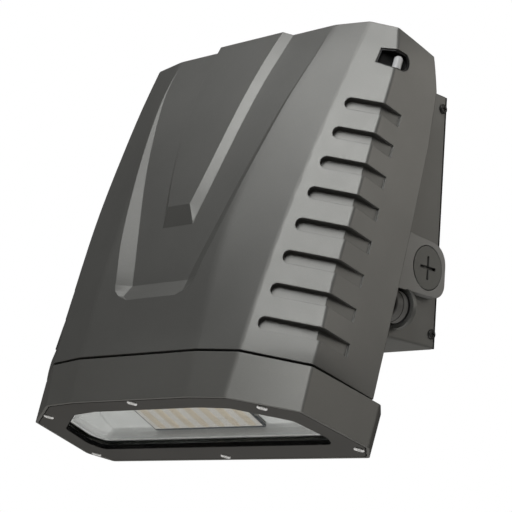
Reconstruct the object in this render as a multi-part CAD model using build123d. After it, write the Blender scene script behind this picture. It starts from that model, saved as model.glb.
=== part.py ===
"""Tilting LED wall light: wall box, yoke and head, every piece a solid of its own.

World frame: wall plane at Y = 0, the light on the -Y side, +X to the right seen
from the front, +Z up, origin at the centre of the wall box on the wall.
Head frame: X as the world, Z up along the head from the bezel face, Y towards the wall
from the front side corner.  The head is drawn there and then leaned by REST_TILT.
"""
import math
import os

from build123d import *

os.makedirs("parts", exist_ok=True)

# ---------------------------------------------------------------- driving sizes (mm)
REST_TILT = 15.28            # head lean in the photographed pose, degrees
PIVOT_Y = -18.6              # hinge axis from the wall
PIVOT_Z = -33.7              # hinge axis from the middle of the wall box
HEAD_PIVOT_Y = 87.1          # the same axis in the head frame
HEAD_PIVOT_Z = 132.2

# wall box
BOX_W = 190.0
BOX_H = 162.0
BOX_DEPTH_LOW = 46.0
BOX_DEPTH_TOP = 14.0
BOX_WALL = 3.2
BOX_EDGE_R = 1.6
WALL_GASKET_T = 2.0
WALL_GASKET_W = 2.6
PLATE_T = 2.5                # steel wall plate
PLATE_GAP = 0.6              # wall plate to box, all round
PLATE_FLANGE = 11.2          # depth of its folded sides
WALL_HOLE_D = 5.5            # four wall screws
WALL_HOLE_SPAN_X = 120.0
WALL_HOLE_SPAN_Z = 100.0
WIRE_HOLE_D = 28.0
SIDE_SCREW_Y = -4.4
SIDE_SCREW_Z = 72.0
SIDE_SCREW_HEAD_D = 6.2
SIDE_SCREW_HEAD_H = 1.5
SIDE_SCREW_D = 3.5

# cable gland on the lower right side of the box
GLAND_X = 97.6
GLAND_Z = -62.0
GLAND_BOSS_R = 13.0
GLAND_BOSS_LEN = 3.0
GLAND_BOSS_FADE = 15.0
GLAND_BOSS_TOP = -51.4
GLAND_RING_R = 10.4
GLAND_RING_T = 1.3
GLAND_NUT_R = 10.0
GLAND_NUT_LEN = 9.5
GLAND_THREAD_R = 7.0
GLAND_THREAD_LEN = 9.0
GLAND_SEAL_R = 8.0
GLAND_BORE_R = 3.4
GLAND_FACE = -41.6           # face of the boss that the gland washer lies on

# yoke and hinge
ARM_T = 5.6
ARM_GAP = 0.5                # washer thickness between box side and arm
ARM_END_R = 17.2             # reach of the arm's end past the axis, and down to its lower edge
ARM_CORNER_TOP = 13.0
ARM_CORNER_LOW = 9.5
ARM_TOP_SLOPE = 5.3          # degrees, arm grows towards the head
HINGE_PIN_D = 10.0
HINGE_RUN = 0.08             # radial running clearance of arm on pin
CAP_D = 27.4
CAP_T = 2.4
CAP_PROUD = 0.25
CROSS_LEN = 14.7
CROSS_W = 1.9
CROSS_DEPTH = 1.9
HINGE_NUT_AF = 17.0
HINGE_NUT_T = 8.0
WASHER_D = 30.0
YOKE_BACK_T = 4.0
YOKE_BACK_LOW = 101.0        # head frame heights of the yoke's back plate
YOKE_BACK_TOP = 156.0
YOKE_BEND_R = 4.0
ARM_INNER_X = BOX_W / 2 + ARM_GAP
ARM_OUTER_X = ARM_INNER_X + ARM_T
CAP_GAP = 0.3                # cap to its recess, radial
CAP_AXIAL = 0.1              # cap to the recess floor
HINGE_BOSS_R = 12.0
HINGE_NUT_X = 86.0           # inner end of the boss, seat of the nut

# head housing stations: height, front face Y, crease D, crease A, corner B, side X at SIDE_Y
STATIONS = [
    (28.0, -30.4, 50.5, (80.6, -25.6), (115.5, -1.2), 118.4),
    (60.0, -32.2, 50.0, (82.5, -25.4), (115.8, -1.9), 118.7),
    (100.0, -33.0, 49.5, (85.1, -24.5), (116.0, -2.0), 118.9),
    (150.0, -29.7, 52.5, (88.5, -21.0), (115.8, -0.8), 118.7),
    (190.0, -24.9, 60.0, (90.8, -16.4), (115.2, 1.3), 118.0),
    (225.0, -18.2, 65.8, (92.6, -11.6), (114.2, 3.2), 118.0),
    (245.0, -13.1, 67.9, (93.4, -8.3), (110.8, 3.4), 118.2),
    (262.0, -8.4, 69.5, (94.0, -5.5), (106.6, 1.8), 118.4),
]
SIDE_Y = 40.0
SIDE_FLARE = 0.07            # side faces open this much per mm of depth
HEAD_BACK = [(28.0, 48.6), (190.0, 43.7), (226.4, 39.5), (247.2, 31.4)]
TOP_FRONT = (-12.0, 254.8)
HOUSING_LOW = 28.0
FRONT_WALL = 8.0             # behind the sculpted front
SHOULDER_WALL = 7.6
CHAMFER_WALL = 7.0
SIDE_WALL = 5.6
TOP_WALL = 4.0
LEDGE_Y = 12.0               # rear cover ledge inside the housing
LEDGE_HALF = 98.0
COVER_FACE = 25.5            # where the rear gasket lies
REAR_GASKET_T = 1.5
COVER_T = 3.0
COVER_PLAY = 0.6
FIN_COUNT = 7
FIN_PITCH = 26.0
FIN_T = 3.0
FIN_LOW_REACH = 12.0         # how far the lower fins stand behind the cover
FIN_TOP_REACH = 5.0
BAR_W = 12.0                 # tapped bars behind the yoke's screws
BAR_T = 4.0
BAR_END = 8.0

# sculpted V in the front: height, rim half width, foot half width, depth
V_STATIONS = [
    (63.3, 21.0, 21.0, 0.0),
    (66.6, 29.5, 26.0, 1.2),
    (70.2, 33.4, 25.4, 2.5),
    (74.6, 35.0, 24.3, 4.2),
    (96.0, 40.6, 30.0, 4.6),
    (114.0, 45.0, 35.2, 4.4),
    (136.0, 49.4, 41.6, 3.4),
    (158.0, 54.0, 47.8, 2.4),
    (181.0, 58.3, 53.6, 1.6),
    (204.0, 62.2, 59.4, 0.9),
    (228.0, 66.2, 64.8, 0.4),
    (262.0, 69.8, 69.5, 0.1),
]
# raised island in the V: height, root half width, crown half width, rise over the V floor
ISLAND = [
    (113.3, 13.4, 13.4, 0.0),
    (125.5, 16.4, 9.5, 4.1),
    (148.0, 21.2, 15.0, 4.2),
    (182.0, 26.6, 20.6, 4.2),
    (218.0, 31.0, 24.6, 4.3),
    (262.0, 34.6, 28.2, 4.3),
]

# side slots
SLOT_COUNT = 8
SLOT_TOP0 = 50.0             # top edge of the lowest slot
SLOT_PITCH = 21.04
SLOT_H = 8.3
SLOT_DEPTH = 4.5
SLOT_DEPTH_END = 1.2
SLOT_FRONT0 = 36.0           # reach along the chamfer, lowest slot, tip included
SLOT_FRONT_STEP = 1.85
SLOT_BACK0 = 22.5            # reach along the side face, lowest slot
SLOT_BACK_STEP = 1.05

# skirt
SKIRT_TOP = 26.4
SKIRT_LOW = [(50.0, -27.0), (77.0, -24.0), (115.0, 0.0), (121.4, 52.5), (110.2, 67.0)]
SKIRT_HIGH = [(50.5, -30.3), (80.5, -25.6), (115.5, -1.1), (122.0, 52.5), (110.8, 67.0)]
SKIRT_WALL = 3.0
ROOF_T = 3.0
SEAM_INSET = 2.0             # the black seam lies back from the faces
BEZEL_T = 2.0
BEZEL_GAP = 0.7
BEZEL_RIM = 1.7              # skirt rim standing round the bezel
BEZEL_SCREWS = [(92.3, -8.0), (113.0, 53.6), (0.0, -22.1), (0.0, 60.6)]
BEZEL_SCREW_HEAD_D = 6.4
BEZEL_SCREW_HEAD_H = 0.7
BEZEL_SCREW_D = 3.0
FLANGE_TOP = 9.0
LENS_CORNERS = [(45.0, -11.6), (68.0, -8.2), (98.5, 12.0), (103.2, 36.5), (99.0, 46.6)]
LENS_R = 7.0
GASKET_LIP = 0.5
GASKET_SEAT = 4.0
GASKET_T = 1.0
GLASS_T = 3.0
GLASS_GAP = 0.5
TRAY_WALL = 1.2

# light source
BOARD_HALF_X = 47.3
BOARD_BACK = 41.4            # rear edge of the board
BOARD_FRONT = -6.0
BOARD_Z_BACK = 10.0          # its lit face at the rear edge
BOARD_LEAN = 10.8            # degrees, rear edge lower
BOARD_T = 1.6
BOARD_PROUD = 2.6            # lit face of the board ahead of the tray floor
CHIP_COLUMNS = 7
CHIP_ROWS = 6
CHIP_PITCH_X = 13.0
CHIP_PITCH_Y = 7.0
CHIP_SIZE = 5.0
CHIP_T = 0.7

# screws of the inner assembly
JOIN_SCREWS = [(74.0, -16.5), (104.5, 17.5)]
JOIN_BOSS_R = 6.0
JOIN_SCREW_D = 4.0
JOIN_HEAD_D = 7.5
JOIN_HEAD_H = 2.2
COVER_SCREW_ROWS = [44.0, 88.0, 168.0, 226.0]
COVER_SCREW_X = 103.2
COVER_SCREW_D = 4.0

# photocell window
EYE_Z = 229.8                # level that its outline is measured from
EYE_LEFT_TOP = (-9.1, 5.8)   # outline: reach along the corner, height over EYE_Z
EYE_LEFT_LOW = (-10.6, -5.2)
EYE_CREASE_LOW = (-0.2, -7.4)
EYE_RIGHT_LOW = (6.6, -5.8)
EYE_RIGHT_MID = (10.3, -0.4)
EYE_RIGHT_TOP = (6.8, 7.0)
EYE_CREASE_TOP = (-0.1, 6.7)
EYE_DEPTH = 9.0
EYE_LINER = 1.0
EYE_SHY = 0.8                # cup edge behind the outer face
EYE_DOME_R = 2.8
EYE_DOME_X = 3.0
EYE_DOME_DEPTH = 5.0
EYE_DOME_TOP = 4.6

# ---------------------------------------------------------------- helpers
HEAD_PLACE = Location((0, PIVOT_Y, PIVOT_Z)) * Location((0, 0, 0), (-REST_TILT, 0, 0)) \
    * Location((0, -HEAD_PIVOT_Y, -HEAD_PIVOT_Z))
made = []


def save(name, shape, in_head=False):
    solid = shape.moved(HEAD_PLACE) if in_head else shape
    solid.label = name
    export_step(solid, f"parts/{name}.step")
    made.append(name)
    return shape


def box(x0, x1, y0, y1, z0, z1):
    size = Box(x1 - x0, y1 - y0, z1 - z0)
    return size.moved(Location(((x0 + x1) / 2, (y0 + y1) / 2, (z0 + z1) / 2)))


def rod(radius, start, end):
    start = Vector(*start)
    end = Vector(*end)
    axis = end - start
    plane = Plane(origin=start, z_dir=axis)
    return extrude(plane * Circle(radius), axis.length)


def cone(r0, r1, start, end):
    start = Vector(*start)
    end = Vector(*end)
    axis = end - start
    plane = Plane(origin=start + axis * 0.5, z_dir=axis)
    return plane * Cone(r0, r1, axis.length)


def mirrored(shape):
    return mirror(shape, about=Plane.YZ)


def both(shape):
    return shape + mirrored(shape)


def line_meet(p, d, q, e):
    cross = d[0] * e[1] - d[1] * e[0]
    k = ((q[0] - p[0]) * e[1] - (q[1] - p[1]) * e[0]) / cross
    return (p[0] + d[0] * k, p[1] + d[1] * k)


def inset_chain(points, amounts):
    """Half outline from the centre line outwards, each run moved inwards by its own amount."""
    full = [(-points[0][0], points[0][1])] + points
    runs = []
    for (a, b), amount in zip(zip(full[:-1], full[1:]), amounts):
        dx = b[0] - a[0]
        dy = b[1] - a[1]
        size = math.hypot(dx, dy)
        normal = (-dy / size, dx / size)
        runs.append(((a[0] + normal[0] * amount, a[1] + normal[1] * amount), (dx, dy)))
    out = []
    for first, second in zip(runs[:-1], runs[1:]):
        out.append(line_meet(first[0], first[1], second[0], second[1]))
    last = runs[-1]
    out.append((last[0][0] + last[1][0], last[0][1] + last[1][1]))
    return out


def closed(half, back=None):
    """Full outline from the right half chain; back adds a straight end at that depth."""
    right = list(half)
    if back is not None:
        x, y = right[-1]
        px, py = right[-2]
        slope = (x - px) / (y - py)
        right[-1] = (x + slope * (back - y), back)
    left = [(-x, y) for x, y in reversed(right)]
    return right + left


def plan_face(points, z, radii=None):
    """Face in a head frame plane of constant height, with rounded corners where asked."""
    sketch = make_face(Polyline([(x, y) for x, y in points], close=True))
    for (x, y), radius in (radii or {}).items():
        for sign in (1, -1):
            corner = sketch.vertices().sort_by_distance(Vector(sign * x, y, 0))[0]
            sketch = fillet(corner, radius)
    return sketch.moved(Location((0, 0, z)))


def rounded(points, radius):
    """Face from a closed outline with every corner rounded alike."""
    sketch = make_face(Polyline([(x, y) for x, y in points], close=True))
    return fillet(sketch.vertices(), radius)


def slab(face, z0, z1):
    return extrude(face.moved(Location((0, 0, z0))), z1 - z0)


# ---------------------------------------------------------------- head housing
def station_half(row):
    z, front, crease, shoulder, corner, side_x = row
    back_y = 70.0
    back_x = corner[0] + (side_x - corner[0]) * (back_y - corner[1]) / (SIDE_Y - corner[1])
    return [(crease, front), shoulder, corner, (back_x, back_y)]


def interpolate(rows, z, pick):
    for low, high in zip(rows[:-1], rows[1:]):
        if low[0] <= z <= high[0]:
            k = (z - low[0]) / (high[0] - low[0])
            return pick(low) * (1 - k) + pick(high) * k
    return pick(rows[-1]) if z > rows[-1][0] else pick(rows[0])


def front_curve():
    return Spline([(row[1], row[0]) for row in STATIONS])


FRONT_EDGE = front_curve()


def front_y(z):
    """Depth of the plain front face at a height, read off the same curve the loft follows."""
    low = 0.0
    high = 1.0
    for _ in range(40):
        mid = (low + high) / 2
        if (FRONT_EDGE @ mid).Y < z:
            low = mid
        else:
            high = mid
    return (FRONT_EDGE @ low).X


outer_faces = []
inner_faces = []
for row in STATIONS:
    half = station_half(row)
    soft = {half[0]: 26.0, half[1]: 7.0, half[2]: 3.0}
    outer_faces.append(plan_face(closed(half), row[0], soft))
    inner_half = inset_chain(half, [FRONT_WALL, SHOULDER_WALL, CHAMFER_WALL, SIDE_WALL])
    inner_faces.append(plan_face(closed(inner_half, 70.0), row[0]))
outer_body = loft(outer_faces)
inner_body = loft(inner_faces)

side_profile = [(-60.0, HOUSING_LOW)]
side_profile += [(y, z) for z, y in HEAD_BACK]
side_profile += [TOP_FRONT, (-60.0, TOP_FRONT[1] + 9.0)]
profile_face = Plane.YZ * make_face(Polyline(side_profile, close=True))
profile_block = extrude(profile_face.moved(Location((-150, 0, 0))), 300)
housing = outer_body & profile_block

# the V channel, then the island that stands in it
channel_faces = []
for z, rim, foot, depth in V_STATIONS:
    y = front_y(z)
    spread = (rim - foot) / depth if depth > 0.15 else 2.2
    ahead = 2.0
    ring = [
        (rim + spread * ahead, y - ahead),
        (foot, y + depth),
        (-foot, y + depth),
        (-rim - spread * ahead, y - ahead),
    ]
    channel_faces.append(plan_face(ring, z))
channel = loft(channel_faces[:4], ruled=True) + loft(channel_faces[3:])
housing = housing - channel
island_faces = []
for z, root, crown, rise in ISLAND:
    floor = front_y(z) + interpolate(V_STATIONS, z, lambda row: row[3])
    ring = [(crown, floor - rise - 0.01), (root, floor + 0.6), (-root, floor + 0.6), (-crown, floor - rise - 0.01)]
    island_faces.append(plan_face(ring, z))
island = (loft(island_faces[:2], ruled=True) + loft(island_faces[1:])) & profile_block
housing = housing + island

# hollow inside, ledge for the rear cover, open back
top_inner = [
    (-60.0, HOUSING_LOW - 1),
    (70.0, HOUSING_LOW - 1),
    (70.0, HEAD_BACK[-1][0] - TOP_WALL - 8.0),
    (TOP_FRONT[0], TOP_FRONT[1] - TOP_WALL),
    (-60.0, TOP_FRONT[1] - TOP_WALL + 9.0),
]
inner_block = extrude((Plane.YZ * make_face(Polyline(top_inner, close=True))).moved(Location((-150, 0, 0))), 300)
hollow = inner_body & inner_block
hollow_front = hollow & box(-150, 150, -60, LEDGE_Y, 0, 300)
hollow_mid = hollow & box(-LEDGE_HALF, LEDGE_HALF, LEDGE_Y - 1, COVER_FACE + 1, 0, 238.0)
hollow_back = hollow & box(-150, 150, COVER_FACE, 80, 0, 300)
housing = housing - hollow_front - hollow_mid - hollow_back

# slots across both side corners, one floor that follows chamfer and side
chamfer_dir = Vector(STATIONS[2][3][0] - STATIONS[2][4][0], STATIONS[2][3][1] - STATIONS[2][4][1]).normalized()


def corner_at(z):
    x = interpolate(STATIONS, z, lambda row: row[4][0])
    y = interpolate(STATIONS, z, lambda row: row[4][1])
    return x, y


def slot_tool(index):
    top = SLOT_TOP0 + index * SLOT_PITCH
    middle = top - SLOT_H / 2
    x, y = corner_at(middle)
    front = SLOT_FRONT0 - index * SLOT_FRONT_STEP
    back = SLOT_BACK0 - index * SLOT_BACK_STEP
    along = (chamfer_dir.X, chamfer_dir.Y)
    inward = (along[1], -along[0])
    tip = (x + along[0] * front, y + along[1] * front)
    tip_in = (tip[0] + inward[0] * SLOT_DEPTH, tip[1] + inward[1] * SLOT_DEPTH)
    end = (x + SIDE_FLARE * back, y + back)
    end_in = (end[0] - SLOT_DEPTH_END, end[1])
    side_at_corner = (x - SLOT_DEPTH - 0.6, y)
    slope = (end_in[0] - side_at_corner[0], end_in[1] - side_at_corner[1])
    knee = line_meet(tip_in, along, side_at_corner, slope)
    out_tip = (tip[0] - inward[0] * 3, tip[1] - inward[1] * 3)
    out_end = (end[0] + 4, end[1])
    out_knee = (x + 6, y - 6)
    ring = [tip_in, knee, end_in, out_end, out_knee, out_tip]
    cutter = extrude(make_face(Polyline(ring, close=True)), SLOT_H).moved(Location((0, 0, top - SLOT_H)))
    tip_plane = Plane(
        origin=(tip[0], tip[1], middle),
        x_dir=(along[0], along[1], 0),
        z_dir=(inward[0], inward[1], 0),
    )
    shape_2d = Pos(-front / 2 - 40, 0) * RectangleRounded(front + 80, SLOT_H, SLOT_H * 0.47)
    rounding = extrude(tip_plane * shape_2d, 40, both=True)
    return cutter & rounding


for number in range(SLOT_COUNT):
    housing = housing - both(slot_tool(number))

# photocell window through the right corner, D shaped, round end to the back
eye_x, eye_y = corner_at(EYE_Z)
eye_dir = Vector(0.88, -0.475, 0).normalized()
eye_side = Vector(-eye_dir.Y, eye_dir.X, 0)
eye_plane = Plane(origin=(eye_x, eye_y, EYE_Z), x_dir=eye_side, z_dir=eye_dir)


def eye_outline(shrink):
    edge = Line(EYE_CREASE_TOP, EYE_LEFT_TOP) + Line(EYE_LEFT_TOP, EYE_LEFT_LOW)
    edge += Line(EYE_LEFT_LOW, EYE_CREASE_LOW) + Line(EYE_CREASE_LOW, EYE_RIGHT_LOW)
    edge += ThreePointArc(EYE_RIGHT_LOW, EYE_RIGHT_MID, EYE_RIGHT_TOP) + Line(EYE_RIGHT_TOP, EYE_CREASE_TOP)
    face = make_face(edge)
    return offset(face, -shrink) if abs(shrink) > 1e-6 else face


eye_cut = extrude(eye_plane * eye_outline(0.0), -EYE_DEPTH) + extrude(eye_plane * eye_outline(0.0), 12)
housing = housing - eye_cut
eye_pad = extrude(eye_plane * eye_outline(-2.2), -EYE_DEPTH - 2.4)
eye_pad = eye_pad & hollow & box(90, 130, -60, 40, 200, TOP_FRONT[1] - TOP_WALL)
eye_back_open = extrude(eye_plane * (Pos(EYE_DOME_X, 0) * Circle(1.6)), -30)
housing = housing + (eye_pad - eye_cut) - eye_back_open

# bosses that take the joining screws from the skirt, and the threaded holes of the rear ledge
for x, y in JOIN_SCREWS:
    boss = rod(JOIN_BOSS_R, (x, y, HOUSING_LOW), (x, y, HOUSING_LOW + 22)) & (hollow + hollow_back)
    boss = boss & box(-150, 150, -60, COVER_FACE - 0.5, 0, 300)
    housing = housing + both(boss) - both(rod(JOIN_SCREW_D / 2, (x, y, HOUSING_LOW - 1), (x, y, HOUSING_LOW + 16)))
cover_screw_spots = [(COVER_SCREW_X, z) for z in COVER_SCREW_ROWS]
for x, z in cover_screw_spots:
    hole = rod(COVER_SCREW_D / 2, (x, COVER_FACE - 9, z), (x, COVER_FACE + 1, z))
    housing = housing - both(hole)
save("head_housing", housing, True)

# ---------------------------------------------------------------- rear cover, gasket, screws
cover_low = HOUSING_LOW + 0.4
cover_top = HEAD_BACK[-1][0] - TOP_WALL - 4.5


def cover_outline(play, low, top):
    def half_at(z):
        row = None
        for first, second in zip(STATIONS[:-1], STATIONS[1:]):
            if first[0] <= z <= second[0]:
                k = (z - first[0]) / (second[0] - first[0])
                a = inset_chain(station_half(first), [FRONT_WALL, SHOULDER_WALL, CHAMFER_WALL, SIDE_WALL])
                b = inset_chain(station_half(second), [FRONT_WALL, SHOULDER_WALL, CHAMFER_WALL, SIDE_WALL])
                ca = a[2][0] + (a[3][0] - a[2][0]) * (COVER_FACE - a[2][1]) / (a[3][1] - a[2][1])
                cb = b[2][0] + (b[3][0] - b[2][0]) * (COVER_FACE - b[2][1]) / (b[3][1] - b[2][1])
                row = ca * (1 - k) + cb * k
        return row - play
    heights = [low, 100.0, 160.0, 200.0, top]
    right = [(half_at(z), z) for z in heights]
    left = [(-x, z) for x, z in reversed(right)]
    return right + left


cover_plane = Plane(origin=(0, COVER_FACE, 0), x_dir=(1, 0, 0), z_dir=(0, -1, 0))


def cover_slab(ring, y0, y1):
    face = make_face(Polyline([(x, z, 0) for x, z in ring], close=True))
    plane = Plane(origin=(0, y0, 0), x_dir=(1, 0, 0), z_dir=(0, -1, 0))
    return extrude(plane * face, -(y1 - y0))


gasket_y1 = COVER_FACE + REAR_GASKET_T
cover_y1 = gasket_y1 + COVER_T
cover_ring = cover_outline(COVER_PLAY, cover_low, cover_top)
rear_gasket = cover_slab(cover_ring, COVER_FACE, gasket_y1)
rear_gasket = rear_gasket - box(-LEDGE_HALF, LEDGE_HALF, 0, 60, 0, 238.0 - 0.0)
rear_cover = cover_slab(cover_ring, gasket_y1, cover_y1)
for x, z in cover_screw_spots:
    passage = rod(COVER_SCREW_D / 2 + 0.3, (x, 10, z), (x, 60, z))
    rear_gasket = rear_gasket - both(passage)
    rear_cover = rear_cover - both(passage)
# cooling fins above and below the yoke plate
for k in range(FIN_COUNT):
    x = (k - (FIN_COUNT - 1) / 2) * FIN_PITCH
    for reach, fin_low, fin_top in ((FIN_LOW_REACH, 36.0, 96.0), (FIN_TOP_REACH, 168.0, 212.0)):
        rear_cover = rear_cover + box(x - FIN_T / 2, x + FIN_T / 2, cover_y1 - 0.5, cover_y1 + reach, fin_low, fin_top)
GROMMET_X = 66.0
GROMMET_Z = 132.0
GROMMET_R = 6.0
GROMMET_SKIN = 0.8
rear_cover = rear_cover - rod(GROMMET_R, (GROMMET_X, 0, GROMMET_Z), (GROMMET_X, 80, GROMMET_Z))
YOKE_SCREWS = [(-44.0, 116.0), (44.0, 116.0), (-44.0, 148.0), (44.0, 148.0)]
YOKE_SCREW_D = 5.0
for x, z in YOKE_SCREWS:
    rear_cover = rear_cover - rod(YOKE_SCREW_D / 2 + 0.25, (x, gasket_y1 - 1, z), (x, 60, z))
DRIVER_SCREWS = [(-30.0, 86.0), (30.0, 198.0)]
for x, z in DRIVER_SCREWS:
    rear_cover = rear_cover - rod(1.5, (x, gasket_y1 - 1, z), (x, cover_y1 - 0.8, z))
save("rear_gasket", rear_gasket, True)
save("rear_cover", rear_cover, True)
# tapped steel bars inside the cover, which the yoke's screws pull against
bar_z0 = YOKE_SCREWS[0][1] - BAR_END
bar_z1 = YOKE_SCREWS[2][1] + BAR_END
yoke_bars = []
for sign in (-1, 1):
    bar_x = sign * YOKE_SCREWS[1][0]
    bar = box(bar_x - BAR_W / 2, bar_x + BAR_W / 2, gasket_y1 - BAR_T, gasket_y1, bar_z0, bar_z1)
    for x, z in YOKE_SCREWS:
        if x * sign > 0:
            bar = bar - rod(YOKE_SCREW_D / 2, (x, gasket_y1 - BAR_T - 1, z), (x, gasket_y1 + 1, z))
    yoke_bars.append(bar)


def gather(shapes):
    return Compound(children=list(shapes))


save("yoke_bars", gather(yoke_bars), True)


def pan_screw(x, y, z, axis, head_d, head_h, shank_d, shank_len, recess=True):
    """Pan head screw: seat at the point, head standing against axis, shank along it."""
    seat = Vector(x, y, z)
    axis = Vector(*axis).normalized()
    head = rod(head_d / 2, tuple(seat), tuple(seat - axis * head_h))
    top_edge = head.edges().filter_by(GeomType.CIRCLE).sort_by_distance(seat - axis * head_h)[0]
    head = fillet(top_edge, head_h * 0.55)
    screw = head + rod(shank_d / 2, tuple(seat - axis * 0.2), tuple(seat + axis * shank_len))
    if recess:
        spot = Plane(origin=seat - axis * head_h, z_dir=axis)
        cross = Rectangle(head_d * 0.52, head_d * 0.13) + Rectangle(head_d * 0.13, head_d * 0.52)
        screw = screw - extrude(spot * cross, head_h * 0.55)
    return screw


cover_screws = []
for x, z in cover_screw_spots:
    for sign in (1, -1):
        cover_screws.append(pan_screw(sign * x, cover_y1, z, (0, -1, 0), 7.5, 2.4, COVER_SCREW_D, 10))
save("rear_screws", gather(cover_screws), True)

# ---------------------------------------------------------------- driver and its mates, on the rear cover
driver = box(-36.4, 36.4, -8, gasket_y1, 92, 192)
driver = fillet(driver.edges().filter_by(Axis.Z), 2.0)
for x, z in DRIVER_SCREWS:
    tab_z = 192 if z > 150 else 92
    tab = box(x - 8, x + 8, gasket_y1 - 2, gasket_y1, min(z - 5, tab_z), max(z + 5, tab_z))
    driver = driver + tab - rod(1.8, (x, 0, z), (x, 60, z)) if z < 90 or z > 194 else driver + tab
save("driver", driver, True)
driver_screws = []
for x, z in DRIVER_SCREWS:
    driver_screws.append(pan_screw(x, gasket_y1 - 2, z, (0, 1, 0), 6.0, 1.8, 3.0, 3.6))
save("driver_screws", gather(driver_screws), True)
surge = box(50, 78, 2, gasket_y1, 160, 204)
surge = fillet(surge.edges().filter_by(Axis.Z), 2.0)
save("surge_protector", surge, True)
wire_block = box(-87, -53, 10, gasket_y1, 100, 124)
for k in range(3):
    wire_block = wire_block - rod(2.2, (-80 + k * 10, 9, 112), (-80 + k * 10, 20, 112))
    wire_block = wire_block - rod(1.6, (-80 + k * 10, 15, 99), (-80 + k * 10, 15, 110))
save("wire_connector", wire_block, True)
grommet = rod(GROMMET_R - 0.05, (GROMMET_X, gasket_y1, GROMMET_Z), (GROMMET_X, cover_y1, GROMMET_Z))
grommet += rod(GROMMET_R + 2, (GROMMET_X, cover_y1, GROMMET_Z), (GROMMET_X, cover_y1 + 2, GROMMET_Z))
grommet += rod(GROMMET_R + 2, (GROMMET_X, gasket_y1 - 1.6, GROMMET_Z), (GROMMET_X, gasket_y1, GROMMET_Z))
# a thin skin closes the grommet until a cord is pushed through it
grommet -= rod(2.6, (GROMMET_X, gasket_y1 - 1.6 + GROMMET_SKIN, GROMMET_Z), (GROMMET_X, 40, GROMMET_Z))
save("cable_grommet", grommet, True)

# ---------------------------------------------------------------- photocell
cup = extrude(eye_plane * eye_outline(0.1), -EYE_DEPTH) + extrude(eye_plane * eye_outline(0.1), 12)
cup = cup & outer_body.moved(Location((-EYE_SHY, EYE_SHY * 0.6, 0)))
cup_floor = eye_plane.from_local_coords((0, 0, -EYE_DEPTH + EYE_LINER))
inner_plane = Plane(origin=cup_floor, x_dir=eye_side, z_dir=eye_dir)
cup = cup - extrude(inner_plane * eye_outline(0.1 + EYE_LINER), 30)
cup = cup - extrude(eye_plane * (Pos(EYE_DOME_X, 0) * Circle(1.6)), -30)
cup = max(cup.solids(), key=lambda part: part.volume)
save("photocell_cup", cup, True)
dome_low = EYE_CREASE_LOW[1] + (EYE_DOME_X / EYE_RIGHT_LOW[0]) * (EYE_RIGHT_LOW[1] - EYE_CREASE_LOW[1])
dome_at = eye_plane.from_local_coords((EYE_DOME_X, dome_low + EYE_LINER + 0.9, -EYE_DOME_DEPTH))
dome_end = eye_plane.from_local_coords((EYE_DOME_X, EYE_DOME_TOP, -EYE_DOME_DEPTH))
dome = rod(EYE_DOME_R, tuple(dome_at), tuple(dome_end))
dome_rim = dome.edges().filter_by(GeomType.CIRCLE).sort_by_distance(dome_end)[0]
dome = fillet(dome_rim, EYE_DOME_R * 0.93)
stem_low = tuple(eye_plane.from_local_coords((EYE_DOME_X, EYE_DOME_TOP * 0.2, -EYE_DOME_DEPTH)))
stem_end = tuple(eye_plane.from_local_coords((EYE_DOME_X, EYE_DOME_TOP * 0.2, -EYE_DEPTH + EYE_LINER)))
dome = dome + rod(1.5, stem_low, stem_end)
save("photocell_dome", dome, True)

# ---------------------------------------------------------------- skirt
skirt_outer = loft([
    plan_face(closed(SKIRT_LOW), 0, {SKIRT_LOW[0]: 26.0, SKIRT_LOW[1]: 7.0, SKIRT_LOW[2]: 3.0, SKIRT_LOW[3]: 4.0,
                                     SKIRT_LOW[4]: 4.0}),
    plan_face(closed(SKIRT_HIGH), SKIRT_TOP, {SKIRT_HIGH[0]: 26.0, SKIRT_HIGH[1]: 7.0, SKIRT_HIGH[2]: 3.0,
                                              SKIRT_HIGH[3]: 4.0, SKIRT_HIGH[4]: 4.0}),
])


def skirt_ring(amount, corners=SKIRT_LOW):
    """Skirt outline moved inwards, straight back run included."""
    half = list(corners)
    chain = inset_chain(half + [(half[-1][0] - 20, half[-1][1])], [amount] * 5 + [amount])
    chain = chain[:5]
    return chain


bezel_half = skirt_ring(BEZEL_RIM + BEZEL_GAP)
pocket_half = skirt_ring(BEZEL_RIM)
cavity_half = skirt_ring(SKIRT_WALL + 1.0)
lens_ring = [(-x, y) for x, y in reversed(LENS_CORNERS)] + list(LENS_CORNERS)


def lens_face(grow):
    face = rounded(lens_ring, LENS_R)
    return offset(face, grow) if abs(grow) > 1e-6 else face


skirt = skirt_outer - slab(rounded(closed(pocket_half), 3.0), -1, BEZEL_T)
glass_z0 = BEZEL_T + GASKET_T
glass_z1 = glass_z0 + GLASS_T
skirt = skirt - slab(lens_face(GASKET_SEAT + GLASS_GAP), BEZEL_T - 1, glass_z1)
skirt = skirt - slab(lens_face(2.0), glass_z1 - 1, FLANGE_TOP + 1)
skirt = skirt - slab(rounded(closed(cavity_half), 4.0), FLANGE_TOP, SKIRT_TOP - ROOF_T)
WIRE_SLOT = (-84.0, -70.0, -4.0, 16.0)
skirt = skirt - box(WIRE_SLOT[0], WIRE_SLOT[1], WIRE_SLOT[2], WIRE_SLOT[3], SKIRT_TOP - ROOF_T - 1, SKIRT_TOP + 1)
bezel_spots = []
for x, y in BEZEL_SCREWS:
    for sign in ((1, -1) if x > 1 else (1,)):
        bezel_spots.append((sign * x, y))
for x, y in bezel_spots:
    skirt = skirt - rod(BEZEL_SCREW_D / 2, (x, y, BEZEL_T - 1), (x, y, FLANGE_TOP - 0.8))
for x, y in JOIN_SCREWS:
    skirt = skirt - both(rod(JOIN_SCREW_D / 2 + 0.3, (x, y, SKIRT_TOP - ROOF_T - 1), (x, y, SKIRT_TOP + 1)))
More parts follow.
